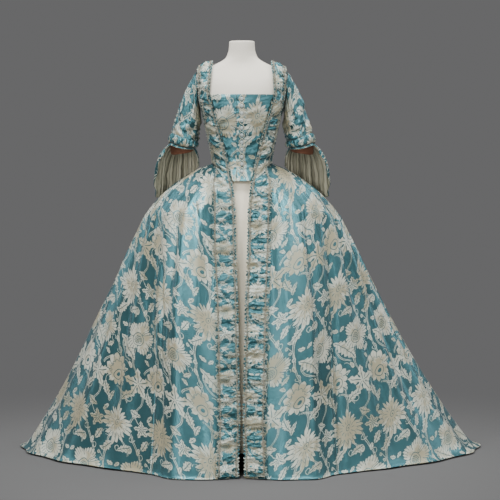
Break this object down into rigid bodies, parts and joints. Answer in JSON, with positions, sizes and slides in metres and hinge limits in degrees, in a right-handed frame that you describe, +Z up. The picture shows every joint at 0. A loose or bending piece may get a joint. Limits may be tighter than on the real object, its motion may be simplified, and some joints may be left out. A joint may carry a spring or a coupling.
{
  "type": "robe a la francaise on a dress form",
  "caption": "Open 18th-century court gown with ruched bands, elbow sleeves with flounces, box-pleated back and train, standing on a limbless dress form.",
  "frame": {"origin": "on the floor, in the middle of the underside of the form's round base plate, under its pole", "axes": "+Z up; -Y is the front of the gown, where it closes; +X is the wearer's left"},
  "size_m": [1.656, 1.3802, 1.442],
  "materials": {
    "brocade": "teal silk satin ground brocaded in silver-cream flowers",
    "lining": "matt off-white silk lining",
    "sleeve_linen": "matt rust-brown linen",
    "form_cotton": "matt cream cotton",
    "metal": "satin black"
  },
  "bodies": {
    "root": {"form_bust": "form_cotton", "form_hoop_cover": "form_cotton", "form_pole": "metal", "form_base": "metal", "stomacher_left": "brocade", "stomacher_right": "brocade", "button_01": "brocade", "button_02": "brocade", "button_03": "brocade", "button_04": "brocade", "button_05": "brocade", "button_06": "brocade", "button_07": "brocade", "button_08": "brocade", "button_09": "brocade", "button_10": "brocade", "button_11": "brocade", "bodice_left": "brocade", "bodice_right": "brocade", "bodice_back": "brocade", "shoulder_left": "brocade", "shoulder_right": "brocade", "sleeve_left": "brocade", "sleeve_right": "brocade", "sleeve_lining_left": "sleeve_linen", "sleeve_lining_right": "sleeve_linen", "sleeve_ruche_left": "brocade", "sleeve_ruche_right": "brocade", "flounce_left": "brocade", "flounce_right": "brocade", "flounce_lining_left": "lining", "flounce_lining_right": "lining", "robing_left": "brocade", "robing_right": "brocade", "skirt_front_left": "brocade", "skirt_front_right": "brocade", "skirt_side_left": "brocade", "skirt_side_right": "brocade", "sack_back": "brocade"}
  },
  "joints": []
}
